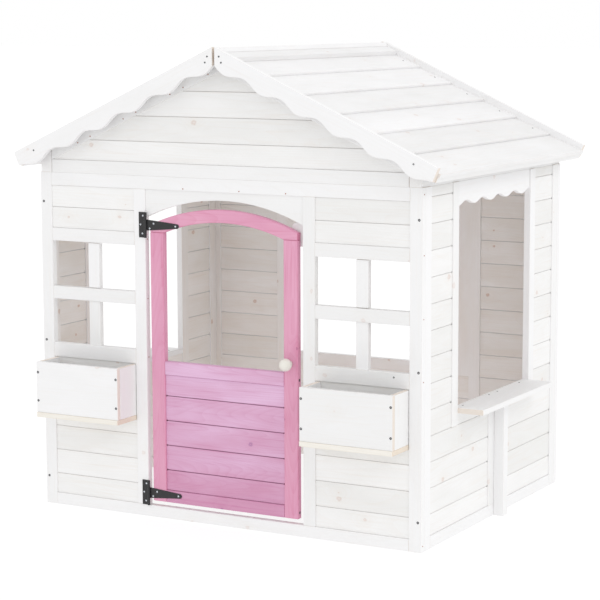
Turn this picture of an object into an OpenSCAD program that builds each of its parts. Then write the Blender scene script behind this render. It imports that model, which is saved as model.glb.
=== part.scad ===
// A child's wooden playhouse: four walls of framed boards, a pitched board
// roof with scalloped barge boards, a half door on two T-hinges, flower boxes
// under the front windows and a serving shelf under each side window.
// X runs across the front, Y from the front to the back, Z up. The origin is
// on the ground, in the middle of the house's outer box.

/* [House] */
// Width across the front wall
house_w = 1120; // [1060:10:1350]
// Depth from the front face to the back face of the walls
house_d = 876; // [760:4:1060]
// Height of the walls, up to the gables
wall_h = 896; // [884:4:1080]

/* [Timber] */
// Width of the frame stock
stock_w = 34; // [28:1:41]
// Thickness of the frame stock
stock_t = 18; // [18:0.5:22]
// Thickness of the wall boards
board_t = 12; // [10:0.5:12]
// Height that one wall board covers
board_pitch = 65.4; // [54:0.2:79]
// Height of the first board joint over the rail under it
first_board = 54.5; // [30:0.5:60]
// How far the boards lie behind the frame's outer face
board_set = 3; // [2:0.5:5]
// Width of the bevel along each board's edges
bevel = 1.2; // [0.8:0.1:2.2]
// Open joint between two boards
board_gap = 0.5; // [0.2:0.1:1]

// Size of the open end of each groove in the side walls and the door
groove_end = 3.6; // [2.4:0.2:4.4]
// Height of the rails on the ground
ground_rail = 31; // [26:1:38]

/* [Roof] */
// Slope of the roof in degrees
roof_pitch = 24.5; // [20:0.5:29.5]
// Overhang of the roof in front of and behind the walls
roof_over = 38; // [30:1:60]
// How far the barge boards reach past the side walls
barge_reach = 58; // [45:1:75]
// Rows of boards on each slope
roof_rows = 6; // [4:1:8]
// Thickness of a roof board at its upper edge
roof_thin = 6; // [5:0.5:8]
// Thickness of a roof board at its lower edge
roof_thick = 12; // [9:0.5:16]
// Length of a ridge cap board down the slope
cap_w = 43; // [36:1:52]
// Thickness of the ridge cap boards
cap_t = 13; // [10:0.5:16]
// Thickness of the barge boards
barge_t = 15; // [12:0.5:18]
// Height of the barge boards' top over the underside of the roof boards
barge_rise = 26; // [24:1:30]
// Mean height of the barge boards
barge_w = 45; // [40:1:56]
// Depth of the scallops, from the middle to the crest
scallop = 7.5; // [4:0.5:9]
// Scallops on one barge board
scallops = 6; // [4:1:8]
// Height of the rails under the gable's slopes
rake_w = 30; // [26:1:36]

/* [Doorway] */
// Clear width between the door jambs
doorway_w = 464; // [390:2:556]
// Gap between the door and each jamb
door_gap = 15; // [12:0.5:18]
// Gap between the door and the ground
door_lift = 44; // [40:1:52]
// Height of the top of the door's arch
door_top = 818; // [700:2:818]
// Outer radius of the door's arch
door_arch_r = 520.5; // [440:0.5:620]
// Width of the arched rail
arch_w = 33; // [28:1:39]
// Gap between the arch and the header over it
header_gap = 23; // [19:0.5:27]
// Thickness of the door
door_t = 17; // [14:0.5:17]

// How far the door's boards lie behind its face
door_board_set = 4; // [2:0.5:4.5]
// Width of the door's stiles
door_stile = 40; // [34:1:48]
// Height of the underside of the middle rail
door_mid_z = 382; // [320:2:458]
// Height of the middle rail
door_mid_w = 35; // [30:1:42]
// Height of the bottom rail
door_low_w = 32; // [28:1:38]
// Diameter of the knob
knob_d = 33; // [28:1:40]
// Height of the knob
knob_z = 441; // [430:1:520]

/* [Hinges] */
// Height of a hinge's leaf
leaf_h = 66; // [55:1:79]
// Width of a hinge's leaf
leaf_w = 18; // [15:1:24]
// Length of a hinge's strap from the pin
strap_l = 100; // [84:1:120]
// Height of the strap at the pin
strap_h = 29; // [25:1:34]
// Height of the strap at its tip
strap_tip = 12; // [10:0.5:14]
// Thickness of the hinge plates
plate_t = 1.5; // [1.2:0.1:1.8]
// Radius of the hinge pins
pin_r = 2; // [1.7:0.1:2.4]
// Wall of the knuckles round the pin
knuckle_wall = 1.5; // [1.2:0.1:1.5]
// Radial clearance of the strap's knuckle on the pin
pin_clear = 0.05; // [0.02:0.01:0.1]

/* [Front windows] */
// Height of the underside of the sill rail
sill_z = 404; // [338:2:440]
// Height of the sill rail
sill_w = 38; // [32:1:45]
// Height of the underside of the cross bar
cross_z = 560; // [530:2:600]
// Height of the underside of the head rail
head_z = 715; // [680:2:760]
// How far the upright lies behind the rails' face
upright_set = 3; // [1:0.5:5]

/* [Side windows] */
// Width of the board strip beside each window
strip_w = 124.5; // [104:0.5:149]
// Height of the shelf's top
shelf_z = 326; // [306:1:390]
// Thickness of the shelf
shelf_t = 14; // [12:0.5:17]
// How far the shelf stands out from the wall
shelf_out = 70; // [64:1:84]
// Width of the legs under the shelves
leg_w = 28; // [24:1:33]
// Mean height of the scalloped valance
valance_h = 56; // [50:1:67]
// Depth of the valance's scallops
valance_wave = 6; // [4:0.5:8]
// Scallops on a valance
valance_waves = 4.5; // [3.5:1:6.5]

/* [Back wall] */
// Width of the window in the back wall
back_window = 524; // [440:2:628]

/* [Flower boxes] */
// How far a flower box stands out from the wall
box_out = 88; // [74:1:105]
// Height of a flower box
box_h = 148; // [124:1:177]
// Thickness of the flower box boards
box_t = 13; // [11:0.5:15]
// Gap between a flower box and the frame on each side of it
box_gap = 2; // [1:0.5:3]

/* [Hidden] */
$fn = 48;

left = -1;
right = 1;
white = "#f1efec";
pink = "#e5a5c5";
violet = "#d9a8d0";
black = "#1c1c1e";
steel = "#5d6066";

// walls
half_w = house_w / 2;
post_in = half_w - stock_w;
side_in = half_w - stock_t;
back_in = house_d - stock_t;
top_rail = wall_h - stock_w;
min_board = 12;
board_step = 0.5;
tongue_t = 3.6;
tongue_d = 4;
slot_t = 4.2;
slot_d = 4.6;
y_mid = (house_d + roof_over - box_out) / 2;

// doorway
jamb_in = doorway_w / 2;
jamb_out = jamb_in + stock_w;
door_half = jamb_in - door_gap;
arch_z = door_top - door_arch_r;
header_r = door_arch_r + header_gap;
arch_in_r = door_arch_r - arch_w;
stile_in = door_half - door_stile;
stile_top = arch_z + sqrt(pow(arch_in_r, 2) - pow(stile_in, 2));
open_joint = 1.5;
knob_x = door_half - door_stile / 2 - 3;
stop_h = 60;
stop_reach = 41;
stop_in = 4;
stop_z = stile_top - 17;
stop_r = 14;

// hinges: the pins stand in front of the gap beside the door
knuckle_r = pin_r + knuckle_wall;
hinge_x = -jamb_in + 3;
hinge_y = -knuckle_r - 0.5;
hinge_low = 20;
hinge_high = 18;
hinge_zs = [door_lift + hinge_low, stile_top + hinge_high];
knuckle_gap = 0.3;

// side walls: two framed panels, joined in the middle
panel_l = (house_d - 2 * stock_t) / 2;
panel_mid = stock_t + panel_l;
strip_in = stock_t + stock_w;
window_y = strip_in + strip_w + stock_w;
joint_0 = ground_rail + first_board;
rows_under_shelf = floor((shelf_z - shelf_t - joint_0 - 20) / board_pitch);
stile_foot = joint_0 + rows_under_shelf * board_pitch;

// roof: s runs down the slope from the ridge, n stands on the underside
slope_cos = cos(roof_pitch);
slope_sin = sin(roof_pitch);
plate_x0 = half_w - stock_w - 2;
plate_x1 = half_w - 3;
gable_half = plate_x0 - 1;
gable_z = wall_h + stock_w;
rake_drop = rake_w / slope_cos;
bed = 0.05;
// how far the rake rails' lower edges run into the gable's base at its ends
rake_seat = 1.2;
ridge_z = gable_z - rake_seat + bed + rake_drop + gable_half * tan(roof_pitch);
barge_len = (half_w + barge_reach) / slope_cos;
barge_end = barge_len - barge_rise * tan(roof_pitch);
roof_end = barge_end + 7;
row_0 = 17;
row_s = (roof_end - row_0) / roof_rows;
roof_y0 = -roof_over + barge_t;
roof_y1 = house_d + roof_over - barge_t;
eave_batten_w = 30;
eave_batten_t = 13;
roof_batten_t = 15;
barge_joint = 7;

// screws and nails
head_r = 3.2;
shank_r = 1.6;
screw_l = 24;
nail_r = 1.5;
small_r = 2.2;

// ---- helpers ----

// moves a piece from the front wall's corner frame to the part's origin
module placed(shade) color(shade) translate([0, -y_mid, 0]) children();

// height of what carries the roof boards, at a distance from the ridge
function roof_under(x) = ridge_z - bed - x * tan(roof_pitch);

// what is drawn for the left side, put on either side
module on_side(side) {
    if (side == right) mirror([1, 0, 0]) children();
    else children();
}

// what is drawn for the front wall, put on the back wall
module on_back() translate([0, house_d, 0]) mirror([0, 1, 0]) children();

// a straight piece between two corners
module bar(x0, x1, y0, y1, z0, z1) {
    translate([x0, y0, z0]) cube([x1 - x0, y1 - y0, z1 - z0]);
}

// heights of the board joints between two rails, with both ends
function joints(z0, z1, first) = concat(
    [z0],
    [for (k = [0:30]) let (z = first + k * board_pitch)
        if (z > z0 + min_board && z < z1 - min_board) z],
    [z1]
);

// section of one tongue-and-groove board, thickness along x, height along y
function board_section(h, tongue, slot) = concat(
    [[0, bevel], [bevel, 0]],
    slot ? [[(board_t - slot_t) / 2, 0], [(board_t - slot_t) / 2, slot_d],
            [(board_t + slot_t) / 2, slot_d], [(board_t + slot_t) / 2, 0]] : [],
    [[board_t - bevel, 0], [board_t, bevel], [board_t, h - bevel], [board_t - bevel, h]],
    tongue ? [[(board_t + tongue_t) / 2, h], [(board_t + tongue_t) / 2, h + tongue_d],
              [(board_t - tongue_t) / 2, h + tongue_d], [(board_t - tongue_t) / 2, h]] : [],
    [[bevel, h], [0, h - bevel]]
);

module board(h, tongue, slot, length)
    linear_extrude(length) polygon(board_section(h, tongue, slot));

// the four corners cut where a groove runs out, at one height
module groove_ends(y0, length) {
    depth = (board_t - slot_t) / 2 - board_step;
    for (x = [-1, board_t - depth], z = [-1, length - groove_end])
        translate([x, y0, z]) cube([depth + 1, groove_end / 2 + 1, groove_end + 1]);
}

// boards one over another; x is their thickness, y their height, z their length
module board_stack(z0, z1, first, length, open_ends) {
    edges = joints(z0, z1, first);
    last = len(edges) - 2;
    for (i = [0:last]) {
        gap = i < last ? board_gap : 0;
        h = edges[i + 1] - edges[i] - gap;
        translate([0, edges[i], 0]) difference() {
            board(h, i < last, i > 0, length);
            if (open_ends && i > 0) groove_ends(-1, length);
            if (open_ends && i < last) groove_ends(h - groove_end / 2, length);
        }
    }
}

// boards of the front wall from x0 to x1
module front_stack(x0, x1, z0, z1, first = joint_0, y = board_set, open_ends = false) {
    translate([x0, y, 0])
        rotate([90, 0, 90]) board_stack(z0, z1, first, x1 - x0, open_ends);
}

// boards of the left wall from y0 to y1
module side_stack(y0, y1, z0, z1) {
    translate([-half_w + board_set, y1, 0])
        rotate([90, 0, 0]) board_stack(z0, z1, joint_0, y1 - y0, true);
}

// a countersunk screw whose head lies in the surface, pointing along +Z
module screw(length = screw_l, head = head_r) {
    translate([0, 0, -0.4]) cylinder(r = head, h = 0.9);
    cylinder(r = min(shank_r, head - 0.5), h = length);
}

// a screw or nail into a front face, and one into a right-hand face
module screw_y(x, y, z, length = screw_l, head = head_r) {
    translate([x, y, z]) rotate([-90, 0, 0]) screw(length, head);
}
module screw_x(x, y, z, length = screw_l, head = head_r) {
    translate([x, y, z]) rotate([0, -90, 0]) screw(length, head);
}

// a section in the plane of the left slope, (s, n), swept from y0 to y1
module slope_sweep(points, y0, y1) {
    translate([0, y1, ridge_z])
        rotate([90, 0, 0])
            linear_extrude(y1 - y0)
                polygon([for (p = points)
                    [-p[0] * slope_cos - p[1] * slope_sin,
                     -p[0] * slope_sin + p[1] * slope_cos]]);
}

// a point on a slope, side -1 or 1
function slope_x(side, s, n) = side * (s * slope_cos + n * slope_sin);
function slope_z(s, n) = ridge_z - s * slope_sin + n * slope_cos;

// ---- front wall ----

module threshold_rail() placed(white)
    bar(-post_in, post_in, 0, stock_t, 0, ground_rail);

module front_top_rail() placed(white)
    bar(-post_in, post_in, 0, stock_t, top_rail, wall_h);

module front_post(side) placed(white) on_side(side)
    bar(-half_w, -post_in, 0, stock_t, 0, wall_h);

module door_jamb(side) placed(white) on_side(side)
    bar(-jamb_out, -jamb_in, 0, stock_t, ground_rail, top_rail);

// the board over the door, with an arched underside
module door_header() placed(white) difference() {
    bar(-jamb_in, jamb_in, board_set, board_set + board_t, arch_z + door_arch_r / 2, top_rail);
    translate([0, 0, arch_z]) rotate([-90, 0, 0])
        cylinder(r = header_r, h = stock_t * 2, $fn = 240);
}

// the block that the door closes against, on the back of the right jamb
module door_stop() placed(white)
    translate([jamb_out - stop_in, stock_t, stop_z])
        rotate([90, 0, 180])
            linear_extrude(stock_t)
                union() {
                    length = stock_w + stop_reach - stop_in;
                    square([length - stop_r, stop_h]);
                    square([length, stop_h - stop_r]);
                    translate([length - stop_r, stop_h - stop_r]) circle(r = stop_r);
                }

module window_rails(side) placed(white) on_side(side) {
    bar(-post_in, -jamb_out, 0, stock_t, sill_z, sill_z + sill_w);
    bar(-post_in, -jamb_out, 0, stock_t, cross_z, cross_z + stock_w);
    bar(-post_in, -jamb_out, 0, stock_t, head_z, head_z + stock_w);
}

// two lengths, over and under the cross bar; the upper one has open front joints
module window_uprights(side) placed(white) on_side(side) {
    x0 = -(post_in + jamb_out + stock_w) / 2;
    x1 = x0 + stock_w;
    z0 = cross_z + stock_w;
    bar(x0, x1, upright_set, stock_t, sill_z + sill_w, cross_z);
    difference() {
        bar(x0, x1, upright_set, stock_t, z0, head_z);
        for (z = [z0 - open_joint, head_z - open_joint])
            bar(x0 - 1, x1 + 1, upright_set - 1, upright_set + 3 * open_joint, z, z + 2 * open_joint);
    }
}

module front_boards(side) placed(white) on_side(side) {
    front_stack(-post_in, -jamb_out, ground_rail, sill_z);
    front_stack(-post_in, -jamb_out, head_z + stock_w, top_rail);
}

// ---- flower boxes ----

box_x0 = post_in - box_gap;
box_x1 = jamb_out + box_gap;
box_z0 = sill_z - 2 - box_h;
box_front = -box_out + 2;

module flower_box_front(side) placed(white) on_side(side)
    bar(-box_x0, -box_x1, box_front, box_front + box_t, box_z0 + box_t, box_z0 + box_h);

module flower_box_ends(side) placed(white) on_side(side)
    for (x = [-box_x0, -box_x1 - box_t])
        bar(x, x + box_t, box_front + box_t, board_set, box_z0 + box_t, box_z0 + box_h);

module flower_box_base(side) placed(white) on_side(side)
    bar(-box_x0, -box_x1, -box_out, board_set, box_z0, box_z0 + box_t);

// ---- side walls ----

module side_stiles(side) placed(white) on_side(side) {
    for (y = [stock_t, back_in - stock_w])
        bar(-half_w, -side_in, y, y + stock_w, 0, wall_h);
    for (y = [window_y - stock_w, house_d - window_y])
        bar(-half_w, -side_in, y, y + stock_w, stile_foot, wall_h);
    for (y = [panel_mid - stock_w, panel_mid])
        bar(-half_w, -side_in, y, y + stock_w, ground_rail, shelf_z - shelf_t);
}

module side_rails(side) placed(white) on_side(side) {
    bar(-half_w, -side_in, strip_in, panel_mid, 0, ground_rail);
    bar(-half_w, -side_in, panel_mid, house_d - strip_in, 0, ground_rail);
}

module side_boards(side) placed(white) on_side(side) {
    strip_end = window_y - stock_w;
    mid_front = panel_mid - stock_w;
    mid_rear = panel_mid + stock_w;
    side_stack(strip_in, mid_front, ground_rail, stile_foot - board_gap);
    side_stack(mid_rear, house_d - strip_in, ground_rail, stile_foot - board_gap);
    side_stack(strip_in, strip_end, stile_foot, wall_h);
    side_stack(house_d - strip_end, house_d - strip_in, stile_foot, wall_h);
    side_stack(window_y, mid_front, stile_foot, shelf_z - shelf_t);
    side_stack(mid_rear, house_d - window_y, stile_foot, shelf_z - shelf_t);
}

// the board over the window, scalloped along its lower edge
module valance(side) placed(white) on_side(side) {
    length = house_d - 2 * window_y;
    steps = 72;
    wave = [for (i = [0:steps]) let (t = i / steps)
        [length * t, wall_h - valance_h - valance_wave * cos(360 * valance_waves * t)]];
    translate([-half_w + board_set, window_y, 0])
        rotate([90, 0, 90]) linear_extrude(board_t)
            polygon(concat(wave, [[length, wall_h], [0, wall_h]]));
}

module shelf(side) placed(white) on_side(side)
    bar(-half_w - shelf_out, -side_in, window_y, house_d - window_y, shelf_z - shelf_t, shelf_z);

module shelf_leg(side) placed(white) on_side(side)
    bar(-half_w - leg_w, -half_w, panel_mid, panel_mid + leg_w, 0, shelf_z - shelf_t);

// ---- back wall ----

back_x = back_window / 2;
back_pair = back_x + stock_w;

// end stiles, the stiles of the two high panels and those beside the window
module back_stiles() placed(white) for (side = [left, right]) on_side(side) {
    bar(-half_w, -post_in, back_in, house_d, 0, wall_h);
    bar(-back_pair - stock_w, -back_pair, back_in, house_d, ground_rail, top_rail);
    bar(-back_pair, -back_x, back_in, house_d, stile_foot, top_rail);
}

module back_rails() placed(white) {
    bar(-post_in, post_in, back_in, house_d, 0, ground_rail);
    bar(-post_in, post_in, back_in, house_d, top_rail, wall_h);
    bar(-back_x, back_x, back_in, house_d, stile_foot, shelf_z - shelf_t);
}

module back_boards() placed(white) on_back() {
    for (side = [left, right]) on_side(side)
        front_stack(-post_in, -back_pair - stock_w, ground_rail, top_rail);
    front_stack(-back_pair, back_pair, ground_rail, stile_foot);
}

// ---- gables ----

// outline under the roof boards, lowered by drop
module gable_outline(drop) {
    z_ridge = ridge_z - drop;
    foot = min(gable_half, (z_ridge - gable_z) / tan(roof_pitch));
    translate([0, stock_t, 0]) rotate([90, 0, 0]) linear_extrude(stock_t)
        polygon([[-foot, gable_z], [foot, gable_z],
                 [foot, z_ridge - foot * tan(roof_pitch)], [0, z_ridge],
                 [-foot, z_ridge - foot * tan(roof_pitch)]]);
}

// one rail under a slope, cut upright beside the ridge joint and level on the base
module rake_rail(side) on_side(side) intersection() {
    joint = board_gap / 2;
    translate([0, stock_t, 0]) rotate([90, 0, 0]) linear_extrude(stock_t)
        polygon([[-half_w, roof_under(half_w)], [-half_w, roof_under(half_w) - rake_drop],
                 [-joint, roof_under(joint) - rake_drop], [-joint, roof_under(joint)]]);
    bar(-gable_half, 0, -1, stock_t + 1, gable_z, ridge_z);
}

module gable_base() bar(-gable_half, gable_half, 0, stock_t, wall_h, gable_z);

module gable_base_front() placed(white) gable_base();

module gable_base_rear() placed(white) on_back() gable_base();

module rake_pair() for (side = [left, right]) rake_rail(side);

module rake_rails_front() placed(white) rake_pair();

module rake_rails_rear() placed(white) on_back() rake_pair();

module gable_boards() intersection() {
    front_stack(-gable_half, gable_half, gable_z, ridge_z, gable_z + first_board);
    gable_outline(rake_drop + bed);
}

module gable_boards_front() placed(white) gable_boards();

module gable_boards_rear() placed(white) on_back() gable_boards();

// the timber on top of a side wall, sloped to the roof
module eave_plate(side) placed(white) on_side(side)
    translate([0, house_d, 0]) rotate([90, 0, 0]) linear_extrude(house_d)
        polygon([[-plate_x1, wall_h], [-plate_x0, wall_h],
                 [-plate_x0, roof_under(plate_x0)], [-plate_x1, roof_under(plate_x1)]]);

// ---- roof ----

// battens under the boards: two up each slope, inside, and one at each eave
module roof_battens() placed(white) for (side = [left, right]) on_side(side) {
    s0 = 20;
    s1 = (plate_x0 - 12) / slope_cos;
    for (y = [stock_t + 40, back_in - 40 - stock_w])
        slope_sweep([[s0, -roof_batten_t], [s1, -roof_batten_t], [s1, -bed], [s0, -bed]],
                    y, y + stock_w);
    e1 = roof_end - 4;
    e0 = e1 - eave_batten_w;
    slope_sweep([[e0, -eave_batten_t], [e1, -eave_batten_t], [e1, -bed], [e0, -bed]],
                roof_y0, roof_y1);
}

// wedge boards, each one's thick lower edge over the thin edge of the next
module roof_boards(side) placed(white) on_side(side)
    for (i = [0:roof_rows - 1]) {
        s0 = row_0 + i * row_s;
        s1 = s0 + row_s - board_gap;
        slope_sweep([[s0, 0], [s1, 0], [s1, roof_thick], [s0, roof_thin]], roof_y0, roof_y1);
    }

// two boards bedded on the top rows; the left one laps over the right one's edge
module ridge_caps() placed(white) {
    n0 = roof_thin;
    n1 = n0 + (roof_thick - roof_thin) * (cap_w - row_0) / (row_s - board_gap);
    lap = (n0 + cap_t - n0 * cos(2 * roof_pitch)) / sin(2 * roof_pitch);
    slope_sweep([[-lap, n0], [row_0, n0], [cap_w, n1], [cap_w, n1 + cap_t], [-lap, n0 + cap_t]],
                roof_y0, roof_y1);
    on_side(right)
        slope_sweep([[cap_edge(n0), n0], [row_0, n0], [cap_w, n1], [cap_w, n1 + cap_t],
                     [cap_edge(n0 + cap_t), n0 + cap_t]], roof_y0, roof_y1);
}

// where the right cap's upper edge meets the underside of the left cap
function cap_edge(n) =
    (n * cos(2 * roof_pitch) - roof_thin) / sin(2 * roof_pitch) + board_gap;

// height of a barge board at a distance along its top edge
function barge_depth(s) = barge_w - scallop * cos(360 * scallops * s / barge_len);

module barge_board() {
    steps = scallops * 12;
    joint = barge_joint / 2;
    s_of = [for (i = [0:steps]) barge_len * i / steps];
    edge = [for (s = s_of) [s, barge_rise - barge_depth(s)]];
    shift = barge_rise * tan(roof_pitch);
    outline = concat([for (p = edge) [p[0] - shift, p[1]]],
                     [[barge_end, barge_rise], [-shift, barge_rise]]);
    difference() {
        slope_sweep(outline, -roof_over, roof_y0);
        translate([-joint, -roof_over - 1, 0]) cube([200, barge_t + 2, ridge_z * 2]);
    }
}

module barge_pair() for (side = [left, right]) on_side(side) barge_board();

module barge_boards_front() placed(white) barge_pair();

module barge_boards_rear() placed(white) on_back() barge_pair();

// ---- door ----

// the door's outline, with its arched top
module arch_solid(r, y0, y1) translate([0, y1, arch_z]) rotate([90, 0, 0])
    cylinder(r = r, h = y1 - y0, $fn = 240);

module door_stiles() placed(pink) for (side = [left, right]) on_side(side)
    bar(-door_half, -stile_in, 0, door_t, door_lift, stile_top);

module door_arch_rail() placed(pink) difference() {
    intersection() {
        arch_solid(door_arch_r, 0, door_t);
        bar(-door_half, door_half, -1, stock_t, stile_top, door_top + 1);
    }
    arch_solid(arch_in_r, -1, door_t + 1);
}

module door_rails() placed(violet) {
    bar(-stile_in, stile_in, 0, door_t, door_lift, door_lift + door_low_w);
    bar(-stile_in, stile_in, 0, door_t, door_mid_z, door_mid_z + door_mid_w);
}

module door_boards() placed(violet)
    front_stack(-stile_in, stile_in, door_lift + door_low_w, door_mid_z,
                door_lift + door_low_w + first_board, door_board_set, true);

module door_knob() placed("#f4f1ea") translate([knob_x, 0, knob_z]) rotate([90, 0, 0]) {
    cylinder(r = knob_d * 0.24, h = 12);
    translate([0, 0, knob_d * 0.66]) sphere(d = knob_d);
}

// ---- hinges ----

// a leaf on the jamb, with two knuckles round the pin
module hinge_leaf(z) translate([0, 0, z]) {
    bar(hinge_x - knuckle_r - leaf_w, hinge_x - pin_r, -plate_t, 0, -leaf_h / 2, -strap_h / 2);
    bar(hinge_x - knuckle_r - leaf_w, hinge_x - knuckle_r - 1, -plate_t, 0, -leaf_h / 2, leaf_h / 2);
    bar(hinge_x - knuckle_r - leaf_w, hinge_x - pin_r, -plate_t, 0, strap_h / 2, leaf_h / 2);
    for (end = [-leaf_h / 2, strap_h / 2])
        translate([hinge_x, hinge_y, end]) cylinder(r = knuckle_r, h = (leaf_h - strap_h) / 2);
}

module hinge_leaves() placed(black) for (z = hinge_zs) difference() {
    hinge_leaf(z);
    translate([hinge_x, hinge_y, z - leaf_h]) cylinder(r = pin_r, h = 2 * leaf_h);
}

module hinge_pins() placed(black) for (z = hinge_zs)
    translate([hinge_x, hinge_y, z - leaf_h / 2]) cylinder(r = pin_r, h = leaf_h);

// the tapered strap on the door, with its knuckle between the leaf's two
module hinge_strap() {
    h = strap_h / 2 - knuckle_gap;
    tip = [hinge_x + strap_l - strap_tip / 2, 0];
    difference() {
        union() {
            rotate([90, 0, 0]) linear_extrude(plate_t)
                polygon(concat([[hinge_x, h], [hinge_x, -h], [hinge_x + knuckle_r, -h]],
                               [for (a = [-84:14:84]) tip + strap_tip / 2 * [cos(a), sin(a)]],
                               [[hinge_x + knuckle_r, h]]));
            translate([hinge_x, hinge_y, -h]) cylinder(r = knuckle_r, h = 2 * h);
        }
        translate([hinge_x, hinge_y, -strap_h]) cylinder(r = pin_r + pin_clear, h = 2 * strap_h);
    }
}

module hinge_straps() placed(black) for (z = hinge_zs) translate([0, 0, z]) hinge_strap();

// ---- screws ----

// heights of the screws through the posts, and of the nails into the rails' ends
post_screws = [top_rail - stock_w - 10, sill_z + sill_w + 5, ground_rail + 44.5];
rail_nails = [ground_rail / 2, sill_z + sill_w / 2, cross_z + stock_w / 2, head_z + stock_w / 2,
              top_rail + stock_w / 2];
header_nails = [-0.207, 0.089, 0.329];
shelf_screws = [0.08, 0.44, 0.56, 0.88];
sill_screw = 0.84;
hinge_screws = [[0.72, 0.36], [0.3, 0.01], [0.62, -0.34]];
strap_screws = [[0.12, -0.29], [0.24, 0.16], [0.9, 0]];

module flower_box_screws(side) on_side(side) {
    from_edge = 5;
    for (x = [-box_x0 + from_edge, -box_x1 - from_edge], z = [0.3, 0.81])
        screw_y(x, box_front, box_z0 + box_h * z);
}

module wall_screws() placed(steel) {
    for (side = [left, right], z = post_screws)
        screw_y(side * (half_w - stock_t / 2), 0, z);
    for (side = [left, right], z = rail_nails)
        on_side(side) screw_x(half_w, stock_t / 2, z, 12, nail_r);
    for (i = [1:3]) screw_x(-jamb_in, stock_t / 2, rail_nails[i], 12, nail_r);
    for (t = header_nails) screw_y(t * half_w, 0, top_rail + 5, 12, nail_r);
    screw_y(jamb_out + sill_screw * (post_in - jamb_out), 0, sill_z + 0.7 * sill_w, 15, small_r);
    for (side = [left, right]) {
        flower_box_screws(side);
        for (t = shelf_screws)
            translate([side * (side_in + 0.8 * stock_t), window_y + t * (house_d - 2 * window_y),
                       shelf_z])
                rotate([180, 0, 0]) screw(12, small_r);
    }
    for (z = hinge_zs, p = hinge_screws)
        screw_y(hinge_x - knuckle_r - leaf_w * (1 - p[0]), -plate_t, z + leaf_h * p[1], 15, small_r);
}

// a screw down through a slope
module slope_screw(side, s, y, n) on_side(side)
    translate([slope_x(left, s, n), y, slope_z(s, n)])
        rotate([0, 180 - roof_pitch, 0]) screw(n + 4, small_r);

// screws through a barge board, near the ridge and at the eave
module barge_screws(side)
    for (p = [[26, 16], [38, 27], [barge_len - 62, 20]]) {
        s = p[0] - barge_rise * tan(roof_pitch);
        n = barge_rise - p[1];
        screw_y(slope_x(side, s, n), -roof_over, slope_z(s, n), 15, small_r);
    }

// nails through the rake rails, beside each joint of the gable's boards
module rake_nails(side)
    for (z = joints(gable_z, ridge_z - rake_drop, gable_z + first_board), dz = [-9, 9]) {
        x = (roof_under(0) - 0.75 * rake_drop - z - dz) / tan(roof_pitch);
        if (x > 20 && x < gable_half - 20) screw_y(side * x, 0, z + dz, 12, nail_r);
    }

module roof_screws() placed(steel) {
    for (side = [left, right]) {
        for (y = [roof_y0 + 14, roof_y1 - 14]) slope_screw(side, row_0 + 9, y, roof_thin + cap_t);
        for (i = [0:roof_rows - 2], y = [stock_t / 2, house_d - stock_t / 2])
            slope_screw(side, row_0 + (i + 0.62) * row_s, y,
                        roof_thin + 0.62 * (roof_thick - roof_thin));
        barge_screws(side);
        rake_nails(side);
        on_back() {
            barge_screws(side);
            rake_nails(side);
        }
    }
}

module door_screws() placed(steel) {
    for (z = hinge_zs, p = strap_screws)
        screw_y(hinge_x + strap_l * p[0], -plate_t, z + strap_h * p[1], 15, small_r);
    for (z = [door_lift + door_low_w / 2, door_mid_z + door_mid_w / 2])
        screw_x(door_half, door_t / 2, z, 30);
}

// ---- assembly ----

threshold_rail();
front_top_rail();
front_post(left);  // front_post_left
front_post(right);  // front_post_right
door_jamb(left);  // door_jamb_left
door_jamb(right);  // door_jamb_right
door_header();
door_stop();
window_rails(left);  // window_rails_left
window_rails(right);  // window_rails_right
window_uprights(left);  // window_uprights_left
window_uprights(right);  // window_uprights_right
front_boards(left);  // front_boards_left
front_boards(right);  // front_boards_right
flower_box_front(left);  // flower_box_front_left
flower_box_front(right);  // flower_box_front_right
flower_box_ends(left);  // flower_box_ends_left
flower_box_ends(right);  // flower_box_ends_right
flower_box_base(left);  // flower_box_base_left
flower_box_base(right);  // flower_box_base_right
side_stiles(left);  // side_stiles_left
side_stiles(right);  // side_stiles_right
side_rails(left);  // side_rails_left
side_rails(right);  // side_rails_right
side_boards(left);  // side_boards_left
side_boards(right);  // side_boards_right
valance(left);  // valance_left
valance(right);  // valance_right
shelf(left);  // shelf_left
shelf(right);  // shelf_right
shelf_leg(left);  // shelf_leg_left
shelf_leg(right);  // shelf_leg_right
back_stiles();
back_rails();
back_boards();
gable_base_front();
gable_base_rear();
rake_rails_front();
rake_rails_rear();
gable_boards_front();
gable_boards_rear();
eave_plate(left);  // eave_plate_left
eave_plate(right);  // eave_plate_right
roof_battens();
roof_boards(left);  // roof_boards_left
roof_boards(right);  // roof_boards_right
ridge_caps();
barge_boards_front();
barge_boards_rear();
hinge_leaves();
hinge_pins();
wall_screws();
roof_screws();
door_stiles();
door_arch_rail();
door_rails();
door_boards();
door_knob();
hinge_straps();
door_screws();
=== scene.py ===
import math
import random

import bmesh
import bpy
from mathutils import Euler, Matrix, Quaternion, Vector


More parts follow.
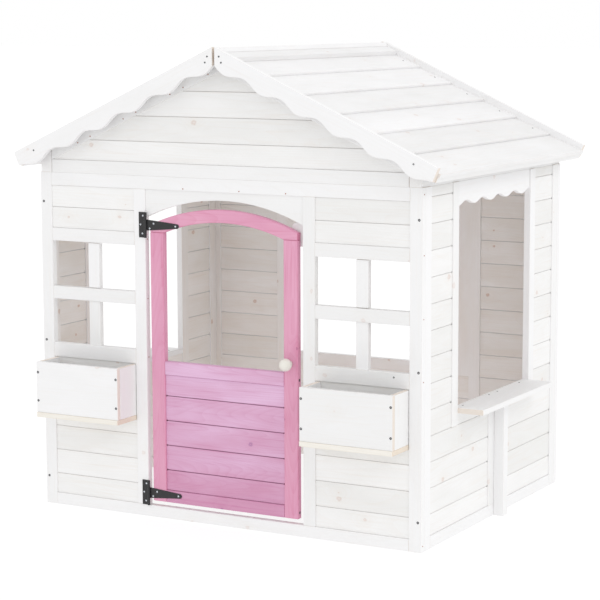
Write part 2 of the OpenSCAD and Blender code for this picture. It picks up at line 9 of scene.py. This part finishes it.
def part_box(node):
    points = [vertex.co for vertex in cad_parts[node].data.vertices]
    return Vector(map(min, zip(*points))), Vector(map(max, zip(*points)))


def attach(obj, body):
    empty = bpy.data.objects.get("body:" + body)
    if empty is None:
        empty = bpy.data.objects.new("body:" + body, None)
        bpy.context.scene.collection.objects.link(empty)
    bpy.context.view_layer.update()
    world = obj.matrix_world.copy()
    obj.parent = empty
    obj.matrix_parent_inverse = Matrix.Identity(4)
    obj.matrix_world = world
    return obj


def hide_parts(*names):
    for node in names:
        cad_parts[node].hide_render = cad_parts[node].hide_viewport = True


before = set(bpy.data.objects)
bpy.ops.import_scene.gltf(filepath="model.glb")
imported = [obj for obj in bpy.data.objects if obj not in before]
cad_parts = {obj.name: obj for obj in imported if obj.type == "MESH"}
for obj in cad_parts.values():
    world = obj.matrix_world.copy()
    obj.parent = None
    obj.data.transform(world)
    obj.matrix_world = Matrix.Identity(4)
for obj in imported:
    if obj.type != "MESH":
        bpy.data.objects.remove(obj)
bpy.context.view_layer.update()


# ---- Frame timber ----
# The posts, rails, stiles and jambs are planed pine laths, 34 by 18 mm, glued and nailed at the
# joints. They have a thin white water-based wash that fills the grain, so the growth rings and
# knots only just show, and the arrises are eased by sanding.

def linear(colour):
    """An sRGB hex value as a linear colour."""
    parts = [int(colour[i:i + 2], 16) / 255 for i in (1, 3, 5)]
    return [c / 12.92 if c <= 0.04045 else ((c + 0.055) / 1.055) ** 2.4 for c in parts] + [1.0]


def put(tree, kind, inputs=None, **settings):
    """Adds a node; inputs holds a value, or another node's output, for each socket."""
    node = tree.nodes.new(kind)
    for name, value in settings.items():
        setattr(node, name, value)
    for socket, value in (inputs or {}).items():
        if isinstance(value, bpy.types.NodeSocket):
            tree.links.new(value, node.inputs[socket])
        else:
            node.inputs[socket].default_value = value
    return node


def new_material(name):
    """An empty material with its output node."""
    material = bpy.data.materials.new(name)
    material.use_nodes = True
    material.node_tree.nodes.clear()
    output = put(material.node_tree, "ShaderNodeOutputMaterial")
    return material, material.node_tree, output


def pine_figure(tree, ring_count):
    """Growth rings, pores, knots and streaks of a flat-sawn pine board, each from 0 to 1."""
    board = put(tree, "ShaderNodeAttribute", attribute_name="grain").outputs["Vector"]

    # One patch in five, of 170 by 45 mm, has a knot: 4 to 18 mm across at its soft, ragged edge,
    # a third longer along the grain, and paler at its heart.
    patch = Vector((0.17, 0.045, 1.0))
    without_knot, ragged, squeeze = 0.8, 0.006, 0.75
    cell = put(tree, "ShaderNodeMapping",
               {"Vector": board, "Scale": (1 / patch.x, 1 / patch.y, 0.0)})
    knots = put(tree, "ShaderNodeTexVoronoi",
                {"Vector": cell.outputs[0], "Scale": 1.0, "Randomness": 0.85},
                voronoi_dimensions="2D")
    away = put(tree, "ShaderNodeVectorMath", {0: cell.outputs[0], 1: knots.outputs["Position"]},
               operation="SUBTRACT")
    metres = put(tree, "ShaderNodeVectorMath",
                 {0: away.outputs[0], 1: (patch.x * squeeze, patch.y, 0.0)}, operation="MULTIPLY")
    wobble = put(tree, "ShaderNodeTexNoise",
                 {"Vector": board, "Scale": 160.0, "Detail": 1.0}).outputs[0]
    reach = put(tree, "ShaderNodeVectorMath", {0: metres.outputs[0]},
                operation="LENGTH").outputs["Value"]
    uneven = put(tree, "ShaderNodeMath", {0: wobble, 1: ragged, 2: reach},
                 operation="MULTIPLY_ADD").outputs[0]
    chance = put(tree, "ShaderNodeSeparateColor", {0: knots.outputs["Color"]})
    kept = put(tree, "ShaderNodeMath", {0: chance.outputs["Red"], 1: without_knot},
               operation="GREATER_THAN").outputs[0]
    radius = put(tree, "ShaderNodeMapRange",
                 {"Value": chance.outputs["Green"], "To Min": 0.005, "To Max": 0.012}).outputs[0]
    core = put(tree, "ShaderNodeMath", {0: radius, 1: 0.6}, operation="MULTIPLY").outputs[0]
    disc = put(tree, "ShaderNodeMapRange", {"Value": uneven, "From Min": radius, "From Max": core},
               interpolation_type="SMOOTHSTEP").outputs[0]
    knot = put(tree, "ShaderNodeMath", {0: disc, 1: kept}, operation="MULTIPLY").outputs[0]
    heart = put(tree, "ShaderNodeMapRange", {"Value": uneven, "From Min": core, "From Max": 0.003},
                interpolation_type="SMOOTHSTEP").outputs[0]
    rim = put(tree, "ShaderNodeMath", {0: heart, 1: -0.55, 2: 1.0}, operation="MULTIPLY_ADD").outputs[0]
    ringed = put(tree, "ShaderNodeMath", {0: knot, 1: rim}, operation="MULTIPLY").outputs[0]
    near = put(tree, "ShaderNodeMapRange", {"Value": reach, "From Min": 0.032, "From Max": 0.0},
               interpolation_type="SMOOTHSTEP").outputs[0]
    swirl = put(tree, "ShaderNodeMath", {0: near, 1: kept}, operation="MULTIPLY").outputs[0]

    # Rings are the contours of a slow swell, some 4 to 8 mm apart, that bend round the knots.
    # Each fades in slowly and ends sharply, as early wood turns to late wood.
    bend, sharpness = 2.0, 2.5
    swell = put(tree, "ShaderNodeMapping", {"Vector": board, "Scale": (0.75, 8.0, 8.0)})
    field = put(tree, "ShaderNodeTexNoise", {"Vector": swell.outputs[0], "Scale": 1.0, "Detail": 1.0,
                                             "Roughness": 0.4}).outputs[0]
    turns = put(tree, "ShaderNodeMath", {0: field, 1: ring_count}, operation="MULTIPLY").outputs[0]
    bent = put(tree, "ShaderNodeMath", {0: swirl, 1: bend, 2: turns},
               operation="MULTIPLY_ADD").outputs[0]
    tooth = put(tree, "ShaderNodeMath", {0: bent}, operation="FRACT").outputs[0]
    ring = put(tree, "ShaderNodeMath", {0: tooth, 1: sharpness}, operation="POWER").outputs[0]

    # Pores are 1 mm wide streaks, some 60 mm long: finer ones would not show.
    pores = put(tree, "ShaderNodeMapping", {"Vector": board, "Scale": (16.0, 900.0, 900.0)})
    pore = put(tree, "ShaderNodeTexNoise",
               {"Vector": pores.outputs[0], "Scale": 1.0, "Detail": 2.0}).outputs[0]

    # Streaks of deeper colour, 3 mm wide and a hand long, and cloudy patches as wide as a hand.
    bands = put(tree, "ShaderNodeMapping", {"Vector": board, "Scale": (5.0, 170.0, 170.0)})
    band = put(tree, "ShaderNodeTexNoise",
               {"Vector": bands.outputs[0], "Scale": 1.0, "Detail": 2.0}).outputs[0]
    streak = put(tree, "ShaderNodeMapRange", {"Value": band, "From Min": 0.5, "From Max": 0.78},
                 interpolation_type="SMOOTHSTEP").outputs[0]
    clouds = put(tree, "ShaderNodeMapping", {"Vector": board, "Scale": (6.0, 20.0, 20.0)})
    cloud = put(tree, "ShaderNodeTexNoise",
                {"Vector": clouds.outputs[0], "Scale": 1.0, "Detail": 3.0}).outputs[0]
    return {"ring": ring, "pore": pore, "knot": ringed, "swirl": swirl, "streak": streak,
            "cloud": cloud}


def finished_pine(name, coats, bare, knot_brown, joint_dirt_and_shade_colour, show, knot_show, ring_count=34.0,
                  end_show=0.4):
    """Pine under a thin wash or stain.

    show and knot_show are how much of the grain and of the knots comes through it; end_show is
    how bare the sawn ends are; joint_dirt_and_shade_colour is the dark colour down in the joints of a
    boarded wall: what gathers in the joints, and painted shade down in the grooves and their open ends."""
    material, tree, output = new_material(name)
    figure = pine_figure(tree, ring_count)
    tone, edge, cut, inner, joint = (
        put(tree, "ShaderNodeAttribute", attribute_name=layer).outputs["Fac"]
        for layer in ("tone", "edge", "end", "inner", "joint"))

    # Each board has its own place between the two coats, and wanders from it in soft clouds.
    wander = 1.4
    drift = put(tree, "ShaderNodeMath", {0: figure["cloud"], 1: wander, 2: -wander / 2},
                operation="MULTIPLY_ADD").outputs[0]
    spread = put(tree, "ShaderNodeMath", {0: tone, 1: drift},
                 operation="ADD", use_clamp=True).outputs[0]
    paint = put(tree, "ShaderNodeMix", {"Factor": spread, 6: linear(coats[0]), 7: linear(coats[1])},
                data_type="RGBA").outputs[2]

    # The wood shows in the late wood, in the pores, in a few streaks, and at rubbed or sawn edges.
    # Inside the house the wash is thinner, in clouds, and the knots show more.
    inner_thin, inner_least, inner_knots, halo_share = 0.32, 0.02, 0.22, 0.25
    line = put(tree, "ShaderNodeMath", {0: figure["ring"], 1: show * 0.7},
               operation="MULTIPLY").outputs[0]
    fine = put(tree, "ShaderNodeMath", {0: figure["pore"], 1: show * 0.5, 2: line},
               operation="MULTIPLY_ADD").outputs[0]
    broad = put(tree, "ShaderNodeMath", {0: figure["streak"], 1: show * 1.3, 2: fine},
                operation="MULTIPLY_ADD").outputs[0]
    rubbed = put(tree, "ShaderNodeMath", {0: edge, 1: show * 0.8, 2: broad},
                 operation="MULTIPLY_ADD").outputs[0]
    sawn = put(tree, "ShaderNodeMath", {0: cut, 1: end_show, 2: rubbed},
               operation="MULTIPLY_ADD").outputs[0]
    thin = put(tree, "ShaderNodeMath", {0: figure["cloud"], 1: inner_thin, 2: inner_least},
               operation="MULTIPLY_ADD").outputs[0]
    within = put(tree, "ShaderNodeMath", {0: inner, 1: thin, 2: sawn}, operation="MULTIPLY_ADD",
                 use_clamp=True).outputs[0]
    grained = put(tree, "ShaderNodeMix", {"Factor": within, 6: paint, 7: linear(bare)},
                  data_type="RGBA").outputs[2]
    halo = put(tree, "ShaderNodeMath", {0: figure["swirl"], 1: knot_show * halo_share},
               operation="MULTIPLY").outputs[0]
    stained = put(tree, "ShaderNodeMix", {"Factor": halo, 6: grained, 7: linear(bare)},
                  data_type="RGBA").outputs[2]
    clear = put(tree, "ShaderNodeMath", {0: inner, 1: inner_knots, 2: knot_show},
                operation="MULTIPLY_ADD").outputs[0]
    spot = put(tree, "ShaderNodeMath", {0: figure["knot"], 1: clear},
               operation="MULTIPLY").outputs[0]
    knotty = put(tree, "ShaderNodeMix", {"Factor": spot, 6: stained, 7: linear(knot_brown)},
                 data_type="RGBA").outputs[2]
    # Joint faces are mixed towards the near-black joint colour: what gathers in the joints, and painted
    # shade down in the grooves and their open ends.
    colour = put(tree, "ShaderNodeMix", {"Factor": joint, 6: knotty, 7: linear(joint_dirt_and_shade_colour)},
                 data_type="RGBA").outputs[2]

    # The water in the wash raises the grain a little, and the knots stay lower.
    rough = put(tree, "ShaderNodeMapRange", {"Value": figure["pore"], "From Min": 0.3,
                                             "From Max": 0.7, "To Min": 0.5, "To Max": 0.68}).outputs[0]
    relief = put(tree, "ShaderNodeMath", {0: figure["ring"], 1: 0.5, 2: figure["pore"]},
                 operation="MULTIPLY_ADD").outputs[0]
    height = put(tree, "ShaderNodeMath", {0: figure["knot"], 1: -1.2, 2: relief},
                 operation="MULTIPLY_ADD").outputs[0]
    bump = put(tree, "ShaderNodeBump",
               {"Height": height, "Strength": 0.35, "Distance": 0.0005}).outputs[0]
    coat = put(tree, "ShaderNodeBsdfPrincipled",
               {"Base Color": colour, "Roughness": rough, "Normal": bump, "IOR": 1.48})
    tree.links.new(coat.outputs[0], output.inputs[0])
    return material


# White water-based wash on planed pine: milky, with cream end grain and faint honey-brown knots.
# The last colour, near black, darkens the joints of boarded walls: dirt and painted shade.
whitewash = finished_pine("whitewashed_pine", ("#f1f1f2", "#ececec"), "#d9bfa0", "#b9764a",
                          "#332a25", show=0.035, knot_show=0.16)


def joined(node):
    """A CAD node's mesh with its loose triangles joined into whole flat faces."""
    bm = bmesh.new()
    bm.from_mesh(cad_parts[node].data)
    bmesh.ops.remove_doubles(bm, verts=bm.verts, dist=1e-5)
    bmesh.ops.dissolve_limit(bm, angle_limit=math.radians(1.0), verts=bm.verts, edges=bm.edges)
    return bm


def finish_off(bm, name, finish):
    """Makes an object of a bmesh, in one material."""
    mesh = bpy.data.meshes.new(name)
    bm.to_mesh(mesh)
    bm.free()
    piece = bpy.data.objects.new(name, mesh)
    bpy.context.scene.collection.objects.link(piece)
    mesh.materials.append(finish)
    return piece


def islands(bm):
    """The separate solids in a bmesh, each a list of vertices."""
    left = set(bm.verts)
    while left:
        stack, found = [min(left, key=lambda v: v.index)], []
        left.discard(stack[0])
        while stack:
            vert = stack.pop()
            found.append(vert)
            for edge in vert.link_edges:
                other = edge.other_vert(vert)
                if other in left:
                    left.discard(other)
                    stack.append(other)
        yield found


roof_slope = math.radians(24.5)


def grain_axes(verts, sloped):
    """Directions along, across and through one board: its grain runs the longest way."""
    turn = 0.0
    if sloped:
        turn = roof_slope if sum(v.co.x for v in verts) > 0 else -roof_slope
    axes = [Matrix.Rotation(turn, 3, "Y") @ Vector(a) for a in ((1, 0, 0), (0, 1, 0), (0, 0, 1))]
    reach = [max(v.co.dot(a) for v in verts) - min(v.co.dot(a) for v in verts) for a in axes]
    return [axes[i] for i in sorted(range(3), key=lambda i: -reach[i])]


least_arris = math.radians(22)   # the facets of a curve meet at less, and stay as they are
square_on = 0.9                  # a face this far along an axis, as a cosine, faces that way
# Faces in a joint take the dark joint colour as dirt and painted shade; those near a board's end, in
# the open groove ends, take it fully, as painted shade.
joint_depth = 0.0004             # a face further in than this is in a joint
end_margin = 0.005               # and this near a board's end it is in the dark


def timber(node, finish, body="house", ease=0.001, sloped=False, shades=(0.0, 1.0),
           inside=None, joint_dirt_and_shade_strength=0.0, fall=0.0, ends=1.0):
    """The boards of one node, with eased arrises, each with its own grain and tone.

    inside is the axis across the wall, for its thinly washed inner face; joint_dirt_and_shade_strength
    is how dark the joints of a boarded wall are, as dirt and painted shade; fall deepens the tone
    towards the lowest board; ends is how bare the sawn ends are."""
    bm = joined(node)
    grain = bm.verts.layers.float_vector.new("grain")
    tone = bm.verts.layers.float.new("tone")
    edge, end, inner, joint = (
        bm.faces.layers.float.new(layer) for layer in ("edge", "end", "inner", "joint"))
    arrises = [e for e in bm.edges if e.calc_face_angle(0.0) > least_arris]
    eased = bmesh.ops.bevel(bm, geom=arrises, offset=ease, offset_type="OFFSET", segments=2,
                            profile=0.5, affect="EDGES", clamp_overlap=True, material=-1)
    bm.verts.index_update()
    bm.normal_update()
    for face in eased["faces"]:
        face[edge] = 1.0
    pick = random.Random(node)
    low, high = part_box(node)
    for verts in islands(bm):
        along, across, through = grain_axes(verts, sloped)
        start = Vector([pick.uniform(0, 40) for _ in range(3)])
        depths = [v.co.dot(through) for v in verts]
        spans = [v.co.dot(along) for v in verts]
        sunk = (high.z - verts[0].co.z) / (high.z - low.z)
        shade = pick.uniform(*shades) + fall * sunk
        for vert in verts:
            place = Vector((vert.co.dot(along), vert.co.dot(across), vert.co.dot(through)))
            vert[grain] = place + start
            vert[tone] = shade
            for face in vert.link_faces:
                face[end] = ends if abs(face.normal.dot(along)) > square_on else 0.0
                middle = face.calc_center_median()
                if inside is not None and abs(face.normal[inside]) > square_on:
                    face[inner] = 1.0 if face.normal[inside] * middle[inside] < 0 else 0.0
                # Joint faces are darkened as dirt and painted shade, fully near the board's ends, where
                # the open groove ends are painted as shade.
                depth = middle.dot(through)
                if joint_dirt_and_shade_strength and min(depth - min(depths), max(depths) - depth) > joint_depth:
                    span = middle.dot(along)
                    by_end = min(span - min(spans), max(spans) - span) < end_margin
                    face[joint] = 1.0 if by_end else joint_dirt_and_shade_strength
    piece = finish_off(bm, node + "_planed", finish)
    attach(piece, body)
    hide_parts(node)


x_axis, y_axis = 0, 1
for name in ("threshold_rail", "front_top_rail", "front_post_left", "front_post_right",
             "door_jamb_left", "door_jamb_right", "window_rails_left", "window_rails_right",
             "window_uprights_left", "window_uprights_right", "back_stiles", "back_rails",
             "gable_base_front", "gable_base_rear"):
    timber(name, whitewash, inside=y_axis)
for name in ("side_stiles_left", "side_stiles_right", "side_rails_left", "side_rails_right"):
    timber(name, whitewash, inside=x_axis)
for name in ("rake_rails_front", "rake_rails_rear"):
    timber(name, whitewash, sloped=True, inside=y_axis)
timber("roof_battens", whitewash, sloped=True)
for name in ("eave_plate_left", "eave_plate_right"):
    timber(name, whitewash, ends=0.1)


# ---- Wall boards ----
# Tongue-and-groove boards, 65 mm wide and 12 mm thick, slid into the frames with a bevelled joint
# between them. Each board is another piece of wood, so its shade and its knots are its own.

wash_on_boards = finished_pine("whitewashed_pine_boards", ("#f2f2f2", "#e9e9e8"), "#d6bb9c",
                               "#b8733f", "#332a25", show=0.06, knot_show=0.24)
# Their joints are darkened a little, as dirt and painted shade, and the open groove ends fully, as
# painted shade.
for name in ("front_boards_left", "front_boards_right", "back_boards", "gable_boards_front",
             "gable_boards_rear"):
    timber(name, wash_on_boards, ease=0.0005, inside=y_axis, joint_dirt_and_shade_strength=0.03)
for name in ("side_boards_left", "side_boards_right"):
    timber(name, wash_on_boards, ease=0.0005, inside=x_axis, joint_dirt_and_shade_strength=0.05)


# ---- Header and door stop ----
# The board over the door has an arch sawn in its lower edge. A small block with one round corner
# is screwed behind the right jamb, and the door shuts against it.

timber("door_header", whitewash, ease=0.0008)
timber("door_stop", whitewash, ease=0.0015)


# ---- Valances, shelves and flower boxes ----
# The valance's waves are band-sawn. The shelves and the boxes are plain boards, screwed together,
# with the same white wash.

for name in ("valance_left", "valance_right", "shelf_left", "shelf_right", "shelf_leg_left",
             "shelf_leg_right", "flower_box_front_left", "flower_box_front_right",
             "flower_box_ends_left", "flower_box_ends_right"):
    timber(name, whitewash, ease=0.0014)
# The boxes' bases had less of the wash: the pine's own cream comes through.
thin_wash = finished_pine("thin_whitewashed_pine", ("#f0ede6", "#ebe6db"), "#d9bfa0", "#b9764a",
                          "#332a25", show=0.1, knot_show=0.3)
for name in ("flower_box_base_left", "flower_box_base_right"):
    timber(name, thin_wash, ease=0.0014)


# ---- Roof ----
# Six wedge-sawn boards on each slope, each one's thick lower edge standing over the next, and two
# boards over the ridge. The scalloped barge boards are nailed on the ends of the roof boards.

wash_on_roof = finished_pine("whitewashed_pine_roof", ("#f0f0f1", "#e6e6e6"), "#dcc3ac", "#b97c52",
                             "#332a25", show=0.05, knot_show=0.18, end_show=0.2)
for name in ("roof_boards_left", "roof_boards_right", "ridge_caps"):
    timber(name, wash_on_roof, sloped=True)
for name in ("barge_boards_front", "barge_boards_rear"):
    timber(name, whitewash, sloped=True, ease=0.0014)


# ---- Door ----
# The same pine with a thin pink stain, which leaves the grain in sight and takes darker in the
# soft wood. The boards and cross rails came out more violet than the stiles and the arch.

close_rings = 60.0
pink_stain = finished_pine("pink_stained_pine", ("#e9b4ca", "#dd9fbb"), "#c4557f", "#97416f",
                           "#6d2048", show=0.2, knot_show=0.5, ring_count=close_rings)
violet_stain = finished_pine("violet_stained_pine", ("#e2bddb", "#cf96b5"), "#b95f90", "#7f4a86",
                             "#6d2048", show=0.18, knot_show=0.45, ring_count=close_rings)
for name in ("door_stiles", "door_arch_rail"):
    timber(name, pink_stain, body="door", ease=0.0018)
timber("door_rails", violet_stain, body="door", ease=0.0014, shades=(0.1, 0.3),
       fall=0.8)
# The joints between the door boards take the dark stain colour at half strength, as pooled stain and
# painted shade, and fully at the open groove ends, as painted shade.
timber("door_boards", violet_stain, body="door", ease=0.0005, shades=(-0.3, 0.3),
       joint_dirt_and_shade_strength=0.5, fall=0.6)


# ---- Knob ----
# A turned wooden knob with a slight flat at its front, painted white.

def painted_knob():
    """Gloss paint, brushed on."""
    material, tree, output = new_material("white_gloss_paint")
    place = put(tree, "ShaderNodeTexCoord").outputs["Object"]
    # Brush marks, 2 mm apart.
    marks = put(tree, "ShaderNodeTexNoise", {"Vector": place, "Scale": 500.0, "Detail": 2.0}).outputs[0]
    patches = put(tree, "ShaderNodeTexNoise", {"Vector": place, "Scale": 60.0}).outputs[0]
    colour = put(tree, "ShaderNodeMix", {"Factor": patches, 6: linear("#ebe9e3"), 7: linear("#dedad0")},
                 data_type="RGBA").outputs[2]
    rough = put(tree, "ShaderNodeMapRange", {"Value": marks, "To Min": 0.25, "To Max": 0.42}).outputs[0]
    bump = put(tree, "ShaderNodeBump",
               {"Height": marks, "Strength": 0.15, "Distance": 0.0003}).outputs[0]
    coat = put(tree, "ShaderNodeBsdfPrincipled",
               {"Base Color": colour, "Roughness": rough, "Normal": bump})
    tree.links.new(coat.outputs[0], output.inputs[0])
    return material


low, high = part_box("door_knob")
ball = (high.z - low.z) / 2
flat = 0.14   # how far the front is pressed in, as a part of the ball's radius
bm = bmesh.new()
bmesh.ops.create_uvsphere(bm, u_segments=48, v_segments=32, radius=ball * 0.98)
for vert in bm.verts:
    front = vert.co.z / ball
    if front > 0:
        vert.co.z = ball * (front - flat * front ** 4)
neck = bmesh.ops.create_cone(bm, cap_ends=True, segments=48, radius1=ball * 0.52,
                             radius2=ball * 0.44, depth=ball * 0.7)
bmesh.ops.translate(bm, verts=neck["verts"], vec=(0, 0, -ball))
bmesh.ops.rotate(bm, verts=bm.verts, matrix=Matrix.Rotation(math.pi / 2, 3, "X"))
bmesh.ops.translate(bm, verts=bm.verts,
                    vec=((low.x + high.x) / 2, low.y + ball, (low.z + high.z) / 2))
for face in bm.faces:
    face.smooth = True
knob = finish_off(bm, "turned_knob", painted_knob())
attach(knob, "door")
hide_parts("door_knob")


# ---- Hinges ----
# Pressed steel T-hinges with a rolled knuckle, powder-coated black: a fine orange peel with a soft
# shine.

def powder_coat():
    """Black powder coat."""
    material, tree, output = new_material("black_powder_coat")
    place = put(tree, "ShaderNodeTexCoord").outputs["Object"]
    # Orange peel, 1 mm across.
    peel = put(tree, "ShaderNodeTexNoise",
               {"Vector": place, "Scale": 1000.0, "Detail": 1.0}).outputs[0]
    dust = put(tree, "ShaderNodeTexNoise",
               {"Vector": place, "Scale": 90.0, "Detail": 4.0}).outputs[0]
    colour = put(tree, "ShaderNodeMix", {"Factor": dust, 6: linear("#151516"), 7: linear("#2a2a2c")},
                 data_type="RGBA").outputs[2]
    rough = put(tree, "ShaderNodeMapRange", {"Value": dust, "To Min": 0.32, "To Max": 0.55}).outputs[0]
    bump = put(tree, "ShaderNodeBump",
               {"Height": peel, "Strength": 0.2, "Distance": 0.0002}).outputs[0]
    coat = put(tree, "ShaderNodeBsdfPrincipled",
               {"Base Color": colour, "Roughness": rough, "Normal": bump})
    tree.links.new(coat.outputs[0], output.inputs[0])
    return material


black = powder_coat()
for name, body in (("hinge_leaves", "house"), ("hinge_pins", "house"), ("hinge_straps", "door")):
    timber(name, black, body=body, ease=0.0003)


# ---- Screws and nails ----
# Countersunk screws with a cross recess, level with the wood: blued steel in the frames, bright
# zinc in the hinges. Small steel nails, gone brown, hold the rails' ends and the gable boards.

def driven_steel():
    """Blued, rusted or bright steel, as each screw's own finish says."""
    material, tree, output = new_material("screw_steel_blued_and_zinc")
    place = put(tree, "ShaderNodeTexCoord").outputs["Object"]
    kind = put(tree, "ShaderNodeAttribute", attribute_name="kind").outputs["Fac"]
    # Blotches of rust and bloom, 1.5 mm across.
    wear = put(tree, "ShaderNodeTexNoise",
               {"Vector": place, "Scale": 650.0, "Detail": 3.0}).outputs[0]
    mottle = put(tree, "ShaderNodeMath", {0: wear, 1: 0.4, 2: -0.12},
                 operation="MULTIPLY_ADD").outputs[0]
    colours = put(tree, "ShaderNodeValToRGB", {"Fac": kind})
    ramp = colours.color_ramp
    ramp.interpolation = "CONSTANT"
    ramp.elements[0].color = linear("#1d222c")
    ramp.elements[1].position, ramp.elements[1].color = 0.75, linear("#eef3fb")
    ramp.elements.new(0.25).color = linear("#a85a2a")
    colour = put(tree, "ShaderNodeMix",
                 {"Factor": mottle, 6: colours.outputs[0], 7: linear("#5a4a40")},
                 data_type="RGBA").outputs[2]
    rough = put(tree, "ShaderNodeMapRange", {"Value": wear, "To Min": 0.3, "To Max": 0.6}).outputs[0]
    metal = put(tree, "ShaderNodeBsdfPrincipled",
                {"Base Color": colour, "Roughness": rough, "Metallic": 0.4})
    tree.links.new(metal.outputs[0], output.inputs[0])
    return material


hinge_low, hinge_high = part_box("hinge_straps")
hinge_places = [Vector((hinge_low.x + 0.03, z)) for z in (hinge_low.z + 0.015, hinge_high.z - 0.015)]
hinge_reach = 0.11         # a hinge's screws are within this of its place
nail_radius = 0.0018       # a head smaller than this is a nail's
hinge_screw_radius = 0.003
least_cap_sides = 12       # the round ends have more sides than any other face
blued, rusted, zinc = 0.0, 0.5, 1.0
recess_inset, recess_bar, recess_waist, recess_depth = 0.3, 0.3, 0.32, 0.0007


def driven(node, body):
    """Screws and nails of one node, with a cross cut into each screw's head."""
    bm = joined(node)
    kind = bm.verts.layers.float.new("kind")
    bm.verts.index_update()
    heads = []
    for verts in islands(bm):
        caps = sorted({f for v in verts for f in v.link_faces if len(f.verts) > least_cap_sides},
                      key=lambda f: -f.calc_area())
        head = next(f for f in caps if f.normal.dot(f.calc_center_median() - sum(
            (v.co for v in verts), Vector()) / len(verts)) > 0)
        radius = math.sqrt(head.calc_area() / math.pi)
        middle = head.calc_center_median()
        by_hinge = radius < hinge_screw_radius and any(
            (middle.xz - h).length < hinge_reach for h in hinge_places)
        nail = radius < nail_radius
        for vert in verts:
            vert[kind] = rusted if nail else zinc if by_hinge else blued
        if not nail:
            heads.append(head)
    for head in heads:
        middle, normal = head.calc_center_median(), head.normal.copy()
        side = normal.orthogonal().normalized()
        up = normal.cross(side)
        reach = (head.verts[0].co - middle).length
        bmesh.ops.inset_individual(bm, faces=[head], thickness=reach * recess_inset,
                                   use_even_offset=True)
        for vert in head.verts:
            off = vert.co - middle
            turn = math.atan2(off.dot(up), off.dot(side)) % (math.pi / 2)
            on_bar = min(turn, math.pi / 2 - turn) < recess_bar
            vert.co = middle + off * (1.0 if on_bar else recess_waist)
        floor = bmesh.ops.extrude_discrete_faces(bm, faces=[head])["faces"]
        bmesh.ops.translate(bm, verts=floor[0].verts, vec=normal * -recess_depth)
    piece = finish_off(bm, node + "_driven", steel)
    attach(piece, body)
    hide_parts(node)


steel = driven_steel()
for name, body in (("wall_screws", "house"), ("roof_screws", "house"), ("door_screws", "door")):
    driven(name, body)


# ---- Studio ----
# A pale floor and a pale surround, with one broad soft light from the right and a weaker one from
# the left.

material, tree, output = new_material("pale_floor")
paper = put(tree, "ShaderNodeBsdfPrincipled",
            {"Base Color": linear("#7d7d7d"), "Roughness": 0.9,
             "Emission Color": linear("#ffffff"), "Emission Strength": 0.8})
tree.links.new(paper.outputs[0], output.inputs[0])
bm = bmesh.new()
bmesh.ops.create_grid(bm, x_segments=1, y_segments=1, size=60.0)
floor = finish_off(bm, "studio_floor", material)

world = bpy.data.worlds.new("studio")
world.use_nodes = True
world.node_tree.nodes["Background"].inputs["Color"].default_value = linear("#ffffff")
world.node_tree.nodes["Background"].inputs["Strength"].default_value = 1.0
bpy.context.scene.world = world


def soft_light(name, place, size, power):
    """A round lamp, aimed at the middle of the house."""
    light = bpy.data.lights.new(name, "AREA")
    light.shape = "DISK"
    light.size = size
    light.energy = power
    lamp = bpy.data.objects.new(name, light)
    bpy.context.scene.collection.objects.link(lamp)
    lamp.location = place
    aim = Vector((0.0, 0.0, 0.6)) - Vector(place)
    lamp.rotation_euler = aim.to_track_quat("-Z", "Y").to_euler()


soft_light("key", (4.5, -2.0, 4.0), size=2.5, power=38.0)
soft_light("fill", (-4.0, -4.0, 3.0), size=3.0, power=1.0)
bpy.context.scene.view_settings.view_transform = "Standard"

lens = bpy.data.cameras.new("camera")
lens.sensor_width = 36.0
lens.lens = 122.9
camera = bpy.data.objects.new("camera", lens)
bpy.context.scene.collection.objects.link(camera)
camera.location = (2.6665, -4.8175, 1.3139)
tilt, turn, roll = 0.14004, 0.50633, -0.00314
level = Euler((math.pi / 2 - tilt, 0.0, turn)).to_quaternion()
camera.rotation_mode = "QUATERNION"
camera.rotation_quaternion = level @ Quaternion((0, 0, 1), roll)
bpy.context.scene.camera = camera
